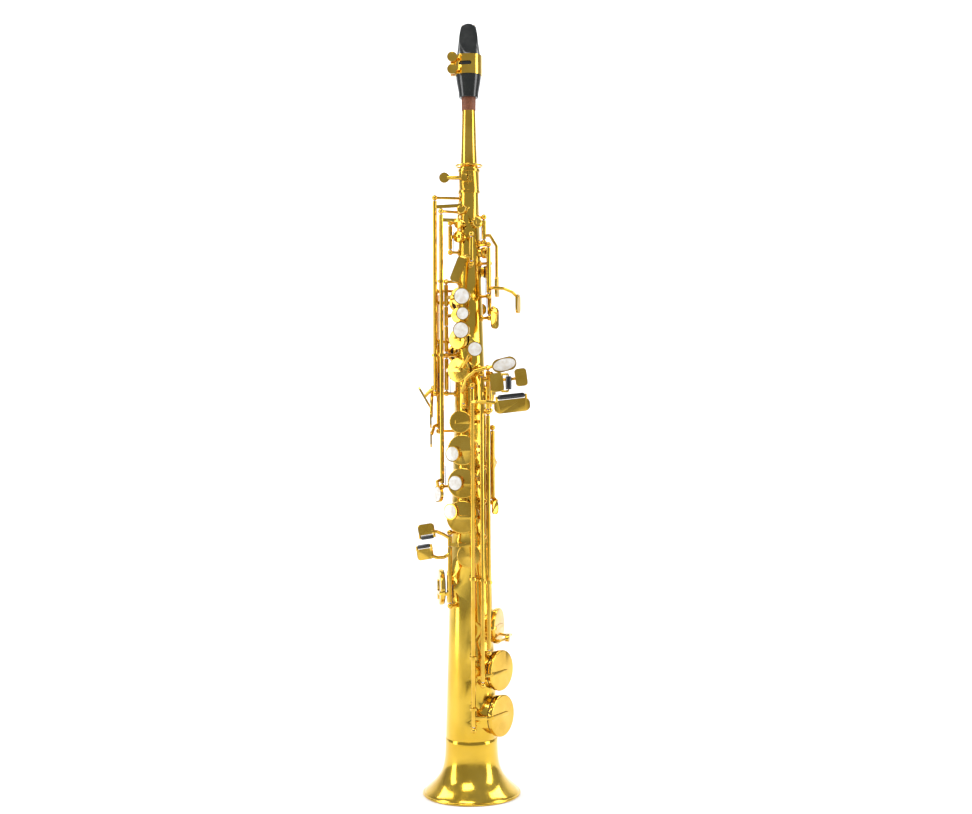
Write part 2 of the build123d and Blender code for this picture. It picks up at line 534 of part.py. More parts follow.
def make_ligature():
    """The ligature: a metal band round mouthpiece and reed, with ears that its screws draw together."""
    low, high = LIGATURE_LOW, LIGATURE_HIGH
    band_ring = drum(Plane.XY, 12.5, low, high) - drum(Plane.XY, 11.75, low - 1, high + 1)
    back = Pos(0, 9.0, (low + high) / 2) * Box(10, 5, high - low) & drum(Plane.XY, 12.3, low, high)
    slot = Pos(-3, -12, 670) * Rot(90, 0, 0) * extrude(SlotOverall(11.6, 3.5), amount=4, both=True)
    ears = [Pos(-14.2, y, (low + high) / 2) * Box(4.8, 1.4, high - low) for y in (-1.6, 1.6)]
    shape = joined([band_ring, back, *ears]) - slot - make_reed() - mouthpiece_outside()
    shape -= Pos(-13, 0, (low + high) / 2) * Box(6, 1.8, high - low + 2)
    for z in LIGATURE_SCREW_HEIGHTS:
        shape -= bar((LIGATURE_SCREW_X, -8, z), (LIGATURE_SCREW_X, 8, z), 1.0)
    return shape


def make_ligature_screws():
    """The ligature's two screws: a coin head in front of the ears, the shank through both."""
    screws = []
    for z in LIGATURE_SCREW_HEIGHTS:
        x = LIGATURE_SCREW_X
        shank = bar((x, -11.5, z), (x, 4.2, z), 1.0)
        collar = bar((x, -11.5, z), (x, -2.4, z), 1.5)
        screws.append(joined([shank, collar, bar((x, -13.0, z), (x, -11.0, z), 4.6)]))
    return screws


# ---------------------------------------------------------------- posts, rods and fittings on the body
# Each hinge line: its place, the heights of the ball posts that hold its rod, and of its guide rings.
LINES = [
    (OCTAVE_LINE, (497.4, 524.4), ()),
    (PALM_F_LINE, (506, 529), ()),
    (PALM_E_FLAT_LINE, (456.4, 503.5), ()),
    (PALM_D_LINE, (437, 487), ()),
    (HIGH_F_SHARP_LINE, (283.2, 534), (403, 470)),
    (SIDE_E_LINE, (367.8, 547.4), (403,)),
    (SIDE_C_LINE, (367.8, 462.5), ()),
    (SIDE_B_FLAT_LINE, (333.4, 415.6), ()),
    (LEFT_STACK, (368, 403, 471), ()),
    (RIGHT_STACK, (238, 270, 300.6, 350.8), ()),
    (LOW_PAIR, (175, 241.6), ()),
    (G_SHARP_LINE, (352.4, 382), ()),
    (G_SHARP_LEVER_LINE, (355.8, 374.4), ()),
    (FORK_LINE, (268.2, 336.6), ()),
    (FRONT_F_LINE, (485.4, 512.6), ()),
    (THUMB_LINE, (443, 519), ()),
    (C_SHARP_LINE, (133, 350.8, 391), (197,)),
    (LOW_B_LINE, (105, 385.3), (200,)),
    (LOW_B_FLAT_LINE, (65, 375), (84, 130, 201)),
]
STALK_ANGLES = {SIDE_B_FLAT_LINE: -145}  # where a post that doesn't stand straight out has its foot


def make_rods():
    """The steel rods that the key tubes turn on, from the lowest post of each line to its highest."""
    return [drum(Plane((x, y, 0)), ROD_RADIUS, min(posts), max(posts)) for (x, y), posts, _ in LINES]


def stalk(x, y, z, short=0.0):
    """A post's stem from its foot on the body's wall to the hinge line, or short of it."""
    angle, wall = STALK_ANGLES.get((x, y), degrees(atan2(x, -y))), body_radius(z) - 0.4
    foot, end = around(wall, angle, z), Vector(x, y, z)
    end -= (end - foot).normalized() * short
    return [bar(foot, end, POST_RADIUS), bar(foot, around(wall + 1.2, angle, z), 2.8)]


def make_posts():
    """The ball posts and the guide rings, less the rods that they hold."""
    shapes = []
    for (x, y), posts, guides in LINES:
        rod = drum(Plane((x, y, 0)), ROD_RADIUS, 0, 600)
        for z in posts:
            ball = joined([Pos(x, y, z) * Sphere(BALL_RADIUS), *stalk(x, y, z)])
            shapes.append(ball - rod)
        for z in guides:
            ring = drum(Plane((x, y, 0)), GUIDE_BORE + 1.0, z - 1.2, z + 1.2)
            ring = joined([ring, *stalk(x, y, z, GUIDE_BORE + 0.3)])
            shapes.append(ring - drum(Plane((x, y, 0)), GUIDE_BORE, z - 3, z + 3))
    return shapes


def make_springs():
    """Blued needle springs: each stands in the lowest post of its line and lies beside the tube."""
    springs = []
    for (x, y), posts, _ in LINES:
        reach, angle = hypot(x, y), degrees(atan2(x, -y))
        z = min(posts)
        springs.append(bar(around(reach - 3.4, angle, z - 1), around(reach - 3.1, angle, z + 19), 0.3))
    return springs


def make_thumb_hook():
    """The right thumb's hook: a foot plate on the body's back and a curved finger."""
    wall = body_radius(HOOK_Z)
    foot = Pos(0, wall + 1.0, HOOK_Z) * Box(9, 3.0, 24) - drum(Plane.XY, wall + 0.05, 200, 340)
    arc = Plane((0, wall + 11.5, HOOK_Z + 1.5), (0, 1, 0), (1, 0, 0)) * CenterArc((0, 0), 10.5, -20, 200)
    hook = sweep(Plane(arc @ 0, x_dir=(1, 0, 0), z_dir=arc % 0) * RectangleRounded(9, 2.2, 1.0), arc)
    screw = bar((0, wall + 1, HOOK_Z - 7), (0, wall + 5, HOOK_Z - 7), 1.25)
    return foot.fuse(hook) - screw


def make_thumb_hook_screw():
    """The thumb hook's clamping screw, with a slotted head."""
    wall = body_radius(HOOK_Z)
    shank = bar((0, wall + 1, HOOK_Z - 7), (0, wall + 2.6, HOOK_Z - 7), 1.25)
    head = bar((0, wall + 2.5, HOOK_Z - 7), (0, wall + 4.0, HOOK_Z - 7), 2.3)
    return joined([shank, head]) - Pos(0, wall + 4.0, HOOK_Z - 7) * Box(6, 0.9, 0.6)


def make_thumb_rest():
    """The left thumb's rest: a domed disc on a short stem."""
    wall = body_radius(REST_Z)
    disc = bar((0, wall + 2.0, REST_Z), (0, wall + 5.0, REST_Z), 6.5)
    disc = fillet(disc.edges().sort_by(Axis.Y)[-1], 1.2)
    stem = bar((0, wall - 0.05, REST_Z), (0, wall + 2.5, REST_Z), 3.2)
    return disc.fuse(stem) - drum(Plane.XY, wall + 0.02, REST_Z - 10, REST_Z + 10)


def make_strap_ring():
    """The ring for a neck strap's hook, on a foot plate."""
    wall = body_radius(STRAP_Z)
    plane = Plane((0, wall + 7.2, STRAP_Z), (0, 1, 0), (1, 0, 0))
    ring = drum(plane, STRAP_HOLE + 1.8, -STRAP_DEPTH / 2, STRAP_DEPTH / 2)
    foot = Pos(0, wall + 0.6, STRAP_Z) * Box(5, 2.8, 18) - drum(Plane.XY, wall + 0.05, 300, 400)
    return ring.fuse(foot) - drum(plane, STRAP_HOLE, -5, 5)


C_SHARP_KEY = next(key for key in KEYS if key.name == "low_c_sharp_key")
GUARD_TOP = C_SHARP_KEY.rim + GUARD_RISE


def make_key_guard():
    """The wire guard over the low C sharp cup, on two feet and with its bumper's socket."""
    feet = [around(body_radius(GUARD_Z) - 0.3, angle, GUARD_Z) for angle in (114, 42)]
    bends = [(GUARD_TOP + 3.5, 104), (GUARD_TOP, 84), (GUARD_TOP, 62), (GUARD_TOP + 1.5, 46)]
    bends = [around(radius, angle, GUARD_Z) for radius, angle in bends]
    rail = wire([feet[0], *bends, feet[1]], GUARD_RADIUS)
    plane = facing(C_SHARP_KEY.angle, GUARD_Z)
    socket = drum(plane, BUMPER_RADIUS + 1, GUARD_TOP - 1.4, GUARD_TOP + 2.2)
    pads = [bar(foot, foot + (bend - foot) * 0.08, 2.8) for foot, bend in zip(feet, (bends[0], bends[-1]))]
    return joined([*rail, socket, *pads]) - drum(plane, BUMPER_RADIUS, GUARD_TOP - 3, GUARD_TOP + 0.6)


def make_key_bumpers():
    """The felt bumper in the guard's socket."""
    return drum(facing(C_SHARP_KEY.angle, GUARD_Z), BUMPER_RADIUS, GUARD_TOP - 1.8, GUARD_TOP + 0.6)


# Each roller: its name, the body that carries it, the ends of its axis and its radius.
ROLLERS = [(key.name.replace("_key", "_roller"), key.name[:-4], roller_ends(key), key.roller[2])
           for key in KEYS if key.roller]
C_ROLLER_ENDS = [Vector(C_ROLLER_X, C_ROLLER_Y, z) for z in C_ROLLER_Z]
ROLLERS.append(("low_c_sharp_roller", "low_c_sharp_lever", C_ROLLER_ENDS, 2.8))


def make_roller(ends, radius):
    """A roller with a running hole along its axis."""
    start, end = ends
    roller = bar(start, end, radius)
    roller = fillet(roller.edges().filter_by(GeomType.CIRCLE), 0.5)
    return roller - bar(start * 2 - end, end * 2 - start, PIN_RADIUS + PIN_FIT)


def save(name, shapes):
    """One STEP file per node: a single solid, or a group of separate ones."""
    shapes = shapes if isinstance(shapes, list) else [shapes]
    solids = [solid for shape in shapes for solid in shape.solids()]
    shape = solids[0] if len(solids) == 1 else Compound(children=solids)
    export_step(shape, f"parts/{name}.step")
    print(name, len(solids), "solids", round(sum(solid.volume for solid in solids)), "mm3")


os.makedirs("parts", exist_ok=True)
save("body_tube", make_body_tube())
save("bell", make_bell())
save("neck_receiver", make_receiver())
save("key_posts", make_posts())
save("hinge_rods", make_rods())
save("needle_springs", make_springs())
save("thumb_hook", make_thumb_hook())
save("thumb_hook_screw", make_thumb_hook_screw())
save("thumb_rest", make_thumb_rest())
save("strap_ring", make_strap_ring())
save("key_guard", make_key_guard())
save("key_bumpers", make_key_bumpers())
save("neck_screw", make_neck_screw())
save("neck_tube", make_neck_tube())
save("neck_cork", make_neck_cork())
save("mouthpiece", make_mouthpiece())
save("reed", make_reed())
save("ligature", make_ligature())
save("ligature_screws", make_ligature_screws())
save("neck_octave_key", list(make_neck_octave_key()))
save("octave_lever", make_octave_lever())
save("front_f_key", make_front_f_key())
lever, pearl = make_g_sharp_lever()
save("g_sharp_lever", lever)
save("g_sharp_pearl", pearl)
save("low_c_sharp_lever", make_low_c_sharp_lever())
for key in KEYS:
    metal, pad, pearl = make_key(key)
    save(key.name, [metal, pad])
    if pearl:
        save(key.name.replace("_key", "_pearl"), pearl)
for name, _, ends, radius in ROLLERS:
    save(name, make_roller(ends, radius))
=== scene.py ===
# %% [markdown]
# # Soprano saxophone
# The CAD model already stands in its place: a conical brass body with its tone holes, a bell, a neck,
# and about thirty keys on steel rods. This lesson gives each piece its surface and its finish.

import json
import math
import bmesh
import bpy
import numpy as np
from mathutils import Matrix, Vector


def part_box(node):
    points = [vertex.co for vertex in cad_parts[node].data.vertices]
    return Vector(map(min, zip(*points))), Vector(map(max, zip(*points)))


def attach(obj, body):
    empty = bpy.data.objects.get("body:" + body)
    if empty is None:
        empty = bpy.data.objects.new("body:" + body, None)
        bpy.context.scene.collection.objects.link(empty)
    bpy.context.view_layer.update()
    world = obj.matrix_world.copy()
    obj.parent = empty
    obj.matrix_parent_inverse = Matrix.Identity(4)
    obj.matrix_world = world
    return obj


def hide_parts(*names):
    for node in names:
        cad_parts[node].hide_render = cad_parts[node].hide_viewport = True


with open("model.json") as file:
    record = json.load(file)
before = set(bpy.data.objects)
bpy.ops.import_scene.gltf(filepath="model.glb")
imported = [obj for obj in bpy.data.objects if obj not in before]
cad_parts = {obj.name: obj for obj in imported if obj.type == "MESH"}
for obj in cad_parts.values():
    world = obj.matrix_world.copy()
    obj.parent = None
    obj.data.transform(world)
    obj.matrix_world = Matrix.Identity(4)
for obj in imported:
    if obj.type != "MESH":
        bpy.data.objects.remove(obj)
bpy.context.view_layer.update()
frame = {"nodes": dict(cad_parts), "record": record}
nodes = frame["nodes"]
body_of = {n: b for b, members in frame["record"]["behaviour"]["bodies"].items() for n in members}
MM = 0.001

# %% [markdown]
# ## The camera
# The instrument is looked at straight on, from half its height, with a slightly long lens, as a
# catalogue would show it. A tiny roll stands for the instrument's own lean.

# %% The camera
CAMERA_PLACE = (0.0147, -1.271, 0.3554)
LENS, ROLL = 51.1, math.radians(0.26)
camera_data = bpy.data.cameras.new("camera")
camera_data.lens = LENS
camera_data.sensor_width = 36.0
camera_data.clip_start = 0.01
camera = bpy.data.objects.new("camera", camera_data)
camera.location = CAMERA_PLACE
camera.rotation_euler = (math.radians(90), ROLL, 0)
bpy.context.scene.collection.objects.link(camera)
bpy.context.scene.camera = camera
print("camera", CAMERA_PLACE, "lens", LENS)

# %% [markdown]
# ## A group for the small unevenness of a polished surface
# Polished and lacquered metal is never one flat tone. Slow noise shifts its colour a little, finer
# noise changes how sharp its reflections are, and very fine streaks stand for buffing marks. Several
# finishes use this, so it is one node group: it gives a tint mask, a roughness and a height.

# %% The surface group
def link(tree, output, entry):
    """Joins two sockets of a node tree."""
    tree.links.new(output, entry)


STREAK_SCALE, STREAK_STRETCH, FINE_TO_SLOW = 2200.0, 0.06, 9.0
NOISE_LOW, NOISE_HIGH = 0.3, 0.7


def make_surface_group():
    """Slow noise is the tint mask, finer noise the roughness, stretched noise the height."""
    group = bpy.data.node_groups.new("polished unevenness", "ShaderNodeTree")
    defaults = {"Pattern Scale": 60.0, "Low Roughness": 0.08, "High Roughness": 0.2}
    for name, default in defaults.items():
        socket = group.interface.new_socket(name, in_out="INPUT", socket_type="NodeSocketFloat")
        socket.default_value = default
    for name in ("Mask", "Roughness", "Height"):
        group.interface.new_socket(name, in_out="OUTPUT", socket_type="NodeSocketFloat")
    n = group.nodes
    entry, out = n.new("NodeGroupInput"), n.new("NodeGroupOutput")
    place = n.new("ShaderNodeTexCoord")
    slow, fine, streak = (n.new("ShaderNodeTexNoise") for _ in range(3))
    for texture, detail in ((slow, 3.0), (fine, 6.0), (streak, 2.0)):
        texture.inputs["Detail"].default_value = detail
    quick = n.new("ShaderNodeMath")
    quick.operation = "MULTIPLY"
    quick.inputs[1].default_value = FINE_TO_SLOW
    stretch = n.new("ShaderNodeMapping")
    stretch.inputs["Scale"].default_value = (1.0, 1.0, STREAK_STRETCH)
    spread = n.new("ShaderNodeMapRange")
    for texture in (slow, fine):
        link(group, place.outputs["Object"], texture.inputs["Vector"])
    link(group, place.outputs["Object"], stretch.inputs["Vector"])
    link(group, stretch.outputs["Vector"], streak.inputs["Vector"])
    link(group, entry.outputs["Pattern Scale"], slow.inputs["Scale"])
    link(group, entry.outputs["Pattern Scale"], quick.inputs[0])
    link(group, quick.outputs[0], fine.inputs["Scale"])
    streak.inputs["Scale"].default_value = STREAK_SCALE
    link(group, fine.outputs["Fac"], spread.inputs["Value"])
    link(group, entry.outputs["Low Roughness"], spread.inputs["To Min"])
    link(group, entry.outputs["High Roughness"], spread.inputs["To Max"])
    spread.inputs["From Min"].default_value = NOISE_LOW
    spread.inputs["From Max"].default_value = NOISE_HIGH
    link(group, slow.outputs["Fac"], out.inputs["Mask"])
    link(group, spread.outputs["Result"], out.inputs["Roughness"])
    link(group, streak.outputs["Fac"], out.inputs["Height"])
    return group


SURFACE = make_surface_group()
print("group", SURFACE.name)

# %% [markdown]
# ## Finishes
# Every finish is one Principled shader with two close colours that the group's mask mixes. Lacquer
# over brass is metal under a clear coat; ebonite, pearl and cork aren't metal. What is the same all
# over is set on the shader's own socket.

# %% One maker for all finishes
DARK_BELOW, LIGHT_ABOVE, RELIEF_DEPTH = 0.35, 0.65, 0.00005


def finish(name, dark, light, roughness, scale=60.0, bump=0.0, **sockets):
    """A material: two colours mixed by the slow mask, roughness between two values, a fine bump."""
    material = bpy.data.materials.new(name)
    material.use_nodes = True
    tree = material.node_tree
    shader = tree.nodes["Principled BSDF"]
    surface = tree.nodes.new("ShaderNodeGroup")
    surface.node_tree = SURFACE
    surface.inputs["Pattern Scale"].default_value = scale
    surface.inputs["Low Roughness"].default_value = roughness[0]
    surface.inputs["High Roughness"].default_value = roughness[1]
    ramp = tree.nodes.new("ShaderNodeValToRGB")
    ramp.color_ramp.elements[0].position = DARK_BELOW
    ramp.color_ramp.elements[1].position = LIGHT_ABOVE
    ramp.color_ramp.elements[0].color = (*dark, 1)
    ramp.color_ramp.elements[1].color = (*light, 1)
    link(tree, surface.outputs["Mask"], ramp.inputs["Fac"])
    link(tree, ramp.outputs["Color"], shader.inputs["Base Color"])
    link(tree, surface.outputs["Roughness"], shader.inputs["Roughness"])
    if bump:
        relief = tree.nodes.new("ShaderNodeBump")
        relief.inputs["Strength"].default_value = bump
        relief.inputs["Distance"].default_value = RELIEF_DEPTH
        link(tree, surface.outputs["Height"], relief.inputs["Height"])
        link(tree, relief.outputs["Normal"], shader.inputs["Normal"])
    for socket, value in sockets.items():
        shader.inputs[socket.replace("_", " ")].default_value = value
    return material


GOLD = finish("gold lacquer", (0.72, 0.42, 0.035), (0.85, 0.54, 0.07), (0.07, 0.17), bump=0.05,
              Metallic=1.0, Coat_Weight=0.35, Coat_Roughness=0.06)
BODY_GOLD = finish("body lacquer", (0.72, 0.44, 0.03), (0.84, 0.55, 0.06), (0.10, 0.20), 25,
                   bump=0.08, Metallic=1.0, Coat_Weight=0.4, Coat_Roughness=0.05)
STEEL = finish("rod steel", (0.50, 0.50, 0.52), (0.66, 0.66, 0.68), (0.18, 0.3), bump=0.2,
               Metallic=1.0)
BLUED = finish("blued spring", (0.03, 0.05, 0.12), (0.08, 0.10, 0.2), (0.2, 0.35), Metallic=1.0)
EBONITE = finish("hard rubber", (0.008, 0.009, 0.008), (0.02, 0.022, 0.018), (0.12, 0.26), 40,
                 bump=0.1, Specular_IOR_Level=0.5, Coat_Weight=0.2)
PEARL = finish("mother of pearl", (0.80, 0.73, 0.62), (0.97, 0.95, 0.90), (0.08, 0.2), 260,
               Coat_Weight=0.6, Coat_Roughness=0.03, Sheen_Weight=0.1)
PLASTIC = finish("black roller", (0.006, 0.006, 0.007), (0.02, 0.02, 0.02), (0.08, 0.18), 120,
                 Coat_Weight=0.3)
CORK = finish("greased cork", (0.13, 0.035, 0.012), (0.28, 0.09, 0.035), (0.45, 0.7), 900, bump=1.0)
LEATHER = finish("pad leather", (0.05, 0.028, 0.018), (0.14, 0.08, 0.05), (0.5, 0.75), 700,
                 bump=0.8)
FELT = finish("felt", (0.02, 0.02, 0.02), (0.07, 0.06, 0.06), (0.8, 0.95), 1500, bump=1.0,
              Sheen_Weight=0.5)
CANE = finish("cut cane", (0.60, 0.44, 0.22), (0.80, 0.66, 0.38), (0.4, 0.6), 300, bump=1.0)
print("finishes", len(bpy.data.materials))

# %% [markdown]
# ## Reading a CAD piece as points
# A few helpers turn a CAD node into numbers: its vertices as one array, and its main directions. The
# covariance of the points has three axes; for a disc the shortest is its normal, for a roller the
# longest is its spindle.

# %% Points and main directions
def points_of(node):
    """The node's vertices as an array of rows."""
    mesh = nodes[node].data
    co = np.empty(len(mesh.vertices) * 3)
    mesh.vertices.foreach_get("co", co)
    return co.reshape(-1, 3)


def main_directions(node):
    """Middle of the node's box in its own directions, those directions, and its size along each."""
    points = np.unique(points_of(node).round(7), axis=0)
    centre = points.mean(axis=0)
    _, axes = np.linalg.eigh(np.cov((points - centre).T))
    local = (points - centre) @ axes
    middle = (local.min(axis=0) + local.max(axis=0)) / 2
    return centre + axes @ middle, axes.T, np.ptp(local, axis=0)


# %% [markdown]
# ## Surfaces on a grid
# Every new shape is a grid of points: one parameter runs round a section, the other along it. The
# grid wraps round and its two ends are closed, so each piece is a sealed skin that faces outwards.

# %% From a grid to a mesh
def grid_piece(name, grid, material, body, slot, *stands_for, smooth_angle=40, loop=False):
    """A closed piece from grid[ring, around]: its end rings are fanned shut, or make a loop."""
    rings, around = grid.shape[:2]
    verts = grid.reshape(-1, 3)
    i, j = np.meshgrid(np.arange(rings if loop else rings - 1), np.arange(around), indexing="ij")
    k, n = (j + 1) % around, (i + 1) % rings
    quads = np.stack([i * around + j, i * around + k, n * around + k, n * around + j], -1)
    faces = quads.reshape(-1, 4).tolist()
    if not loop:
        verts = np.vstack([verts, grid[0].mean(axis=0), grid[-1].mean(axis=0)])
        j, k = np.arange(around), (np.arange(around) + 1) % around
        first, last, middle = 0, (rings - 1) * around, np.full(around, rings * around)
        faces += np.stack([first + k, first + j, middle], -1).tolist()
        faces += np.stack([last + j, last + k, middle + 1], -1).tolist()
    mesh = bpy.data.meshes.new(name)
    mesh.from_pydata(verts.tolist(), [], faces)
    return place_piece(name, mesh, [material], body, stands_for, smooth_angle)


def place_piece(name, mesh, materials, body, stands_for, smooth_angle):
    """Puts a mesh in the scene as a named piece that rides on its body and stands for CAD nodes."""
    work = bmesh.new()
    work.from_mesh(mesh)
    bmesh.ops.remove_doubles(work, verts=work.verts, dist=1e-6)
    bmesh.ops.dissolve_degenerate(work, edges=work.edges, dist=1e-7)
    bmesh.ops.recalc_face_normals(work, faces=work.faces)
    work.to_mesh(mesh)
    work.free()
    for material in materials:
        mesh.materials.append(material)
    mesh.shade_smooth()
    mesh.set_sharp_from_angle(angle=math.radians(smooth_angle))
    piece = bpy.data.objects.new(name, mesh)
    bpy.context.scene.collection.objects.link(piece)
    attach(piece, body)
    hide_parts(*stands_for)
    return piece


def turned(name, outline, material, body, slot, *stands_for, steps=96, smooth_angle=40):
    """A loop of (radius, height) in millimetres turned about the bore into a sealed ring."""
    outline = np.array(outline) * MM
    turn = np.linspace(0, 2 * math.pi, steps, endpoint=False)
    x = outline[:, :1] * np.sin(turn)
    y = -outline[:, :1] * np.cos(turn)
    z = np.repeat(outline[:, 1:], steps, axis=1)
    return grid_piece(name, np.stack([x, y, z], -1), material, body, slot, *stands_for,
                      smooth_angle=smooth_angle, loop=True)

# %% [markdown]
# ## Cast and soldered key work
# The keys come from the CAD model, where their hinges and pads fit. A copy of each mesh is merged,
# shaded smooth up to a crease angle, and gets a narrow bevel, because real key work is tumbled and
# polished until no edge is sharp. A key's pads are loose parts of the same node, so the faces of
# every part but the largest are given leather.

# %% Copies with rounded edges
def part_numbers(mesh):
    """A number for each vertex's connected part: labels spread along edges until they settle."""
    edges = np.empty(len(mesh.edges) * 2, dtype=np.int64)
    mesh.edges.foreach_get("vertices", edges)
    edges = edges.reshape(-1, 2)
    label = np.arange(len(mesh.vertices))
    while True:
        low = np.minimum(label[edges[:, 0]], label[edges[:, 1]])
        new = label.copy()
        np.minimum.at(new, edges[:, 0], low)
        np.minimum.at(new, edges[:, 1], low)
        new = new[new]
        if (new == label).all():
            return label
        label = new


BEVEL_LIMIT = math.radians(40)


def polished_copy(node, material, second=None, bevel=0.16, smooth_angle=35):
    """A rounded copy of a CAD node: the largest part in one finish, the others in a second."""
    mesh = nodes[node].data.copy()
    mesh.materials.clear()
    materials = [material, second] if second else [material]
    piece = place_piece(f"{node}_finished", mesh, materials, body_of[node], (node,),
                        smooth_angle)
    if second:
        label = part_numbers(mesh)
        corners = np.empty(len(mesh.loops), dtype=np.int64)
        mesh.loops.foreach_get("vertex_index", corners)
        starts = np.empty(len(mesh.polygons), dtype=np.int64)
        mesh.polygons.foreach_get("loop_start", starts)
        face_label = label[corners[starts]]
        labels, counts = np.unique(face_label, return_counts=True)
        is_pad = face_label != labels[counts.argmax()]
        mesh.polygons.foreach_set("material_index", is_pad.astype(np.int32))
    if bevel:
        edge = piece.modifiers.new("soft edges", "BEVEL")
        edge.width = bevel * MM
        edge.segments = 2
        edge.limit_method = "ANGLE"
        edge.angle_limit = BEVEL_LIMIT
        edge.harden_normals = True
    return piece


keys = sorted(n for n in nodes if n.endswith("_key") or n.endswith("_lever"))
for node in keys:
    polished_copy(node, GOLD, LEATHER)
for node in ("key_posts", "key_guard", "thumb_hook", "thumb_rest", "strap_ring", "neck_receiver"):
    polished_copy(node, GOLD)
polished_copy("hinge_rods", STEEL, bevel=0.1)
polished_copy("needle_springs", BLUED, bevel=0)
polished_copy("thumb_hook_screw", STEEL, bevel=0.1)
polished_copy("key_bumpers", FELT, bevel=0.2)
polished_copy("body_tube", BODY_GOLD, bevel=0.2)
print("keys", len(keys))

# %% [markdown]
# ## The bell
# The bell is one spun sheet that carries the body's cone on, then opens in a smooth flare, and ends
# in a rolled wire edge. Its radius falls off from the rim like exp(-k t ** p), where t is the height
# above the rim, and the same curve a wall's thickness further in closes the ring.

# %% The bell's sheet
def bell_outline(steps=48):
    """Radius = throat + spread * exp(-k t ** p), t the height above the rim, then a rolled edge."""
    (_, _, low), (radius, _, high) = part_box("bell")
    low, high, radius = low / MM, high / MM, radius / MM
    throat, wall, roll = 24.0, 0.85, 1.2
    flare_high, flare_low, rate, power = 44, 2.2, 0.031, 1.35
    crowding, inward, downward = 0.62, 0.85, 0.5
    heights = flare_high - (flare_high - flare_low) * np.linspace(0, 1, steps) ** crowding
    flare = throat + (radius - roll - throat) * np.exp(-rate * (heights - flare_low) ** power)
    outer = np.stack([flare, heights], -1)
    curl = np.linspace(math.radians(80), math.radians(-170), 18)
    rim = np.stack([radius - roll + roll * np.cos(curl), low + roll + roll * np.sin(curl)], -1)
    inner = np.stack([flare - wall * inward, heights - wall * downward], -1)[::-1]
    collar = [(22.9, high), (23.9, high), (24.1, high - 0.3), (24.15, high - 4.5), (24.1, high - 5)]
    return [*collar, *outer, *rim, *inner[1:]]


bell = turned("bell_spun", bell_outline(), BODY_GOLD, "body", "lacquered_brass", "bell", steps=160,
              smooth_angle=50)
print("bell", len(bell.data.polygons))

# %% [markdown]
# ## Neck and cork
# The neck is a plain drawn cone that thins towards the mouthpiece. Its CAD copy keeps the octave pip
# and the saddle of the octave key. The cork sleeve is a turned ring with a slightly bellied side.

# %% Neck and cork
polished_copy("neck_tube", GOLD, bevel=0.2)
(_, _, cork_low), (cork_radius, _, cork_high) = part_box("neck_cork")
CORK_INSET, CORK_BELLY = 0.25, 0.24
length = np.linspace(0, 1, 12)
side = np.stack([cork_radius / MM - CORK_INSET + CORK_BELLY * np.sin(math.pi * length),
                 (cork_low + (cork_high - cork_low) * length) / MM], -1)
inside = [(5.6, cork_high / MM), (6.2, cork_low / MM)]
cork = turned("cork_sleeve", [*side, *inside], CORK, "neck", "cork", "neck_cork", smooth_angle=60)
print("cork", len(cork.data.polygons))

# %% [markdown]
# ## Mouthpiece, reed and ligature
# The mouthpiece is turned, then filed flat on two sides: the long beak that the teeth rest on, and
# the table that carries the reed. A turned profile whose points are held between two surfaces gives
# both with crisp edges, all in one array step.

# %% The mouthpiece
def mouthpiece_grid(steps=128):
    """A turned profile with y held between the beak's curve and the table; the tip is an arch."""
    tip_radius, tip, table, table_low, beak_low, arch = 6.9, 710.0, 6.55, 655.4, 679.0, 3.2
    outside = [(8.75, 640.0), (8.95, 640.3), (9.1, 643), (9.3, 645), (10.2, 650), (11.1, 655),
               (11.55, 659), (11.7, 663), (11.65, 668), (11.5, 674), (11.3, 678.4), (10.9, 680),
               (10.45, 682)]
    heights = np.array([z for _, z in outside] + list(np.linspace(683, tip, 28)))
    corners = np.array(outside + [(tip_radius, tip)])
    radii = np.interp(heights, corners[:, 1], corners[:, 0])
    turn = np.linspace(0, 2 * math.pi, steps, endpoint=False)
    x, y = radii[:, None] * np.sin(turn), -radii[:, None] * np.cos(turn)
    z = np.repeat(heights[:, None], steps, 1)
    rise = np.clip((z - beak_low) / (tip - beak_low), 0, 1)
    back, climb, straight, curved, power, clear = -11.2, 15.6, 0.80, 0.20, 0.6, -20.0
    beak = back + climb * (straight * rise + curved * rise ** power)
    beak = np.where(rise > 0, beak, clear)
    y = np.maximum(y, beak)
    y = np.where(z > table_low, np.minimum(y, table), y)
    shell = np.stack([x, y, z - arch * rise ** 4 * (x / tip_radius) ** 2], -1)
    bore = np.array([(6.64, 667.0), (6.64, 640.4), (6.8, 640.0)])
    radii, heights = bore[:, :1], np.repeat(bore[:, 1:], steps, 1)
    lining = np.stack([radii * np.sin(turn), -radii * np.cos(turn), heights], -1)
    return np.concatenate([lining, shell]) * MM


beak = grid_piece("mouthpiece_beak", mouthpiece_grid(), EBONITE, "mouthpiece_set", "ebonite",
                  "mouthpiece", smooth_angle=28)
polished_copy("reed", CANE, bevel=0.15)
polished_copy("ligature", GOLD, bevel=0.25)
polished_copy("ligature_screws", GOLD, bevel=0.3)
polished_copy("neck_screw", GOLD, bevel=0.3)
print("mouthpiece", len(beak.data.polygons))

# %% [markdown]
# ## Pearls and rollers
# A pearl is a low dome: its height falls with the square of the distance from its middle. A roller is
# a barrel, a little thicker in its middle, with rounded ends and a pin hole. Both take their place
# and direction from their CAD node.

# %% Domes and barrels
def set_about(profile, centre, axis, first, second, stretch=(1.0, 1.0), steps=64):
    """Turns (radius, height) rows about an axis through centre; stretch widens each direction."""
    turn = np.linspace(0, 2 * math.pi, steps, endpoint=False)
    radius, height = profile[:, 0][:, None], profile[:, 1][:, None]
    across = radius * np.cos(turn) * stretch[0]
    up = radius * np.sin(turn) * stretch[1]
    along = np.broadcast_to(height, across.shape)
    return (centre + across[..., None] * first + up[..., None] * second + along[..., None] * axis)


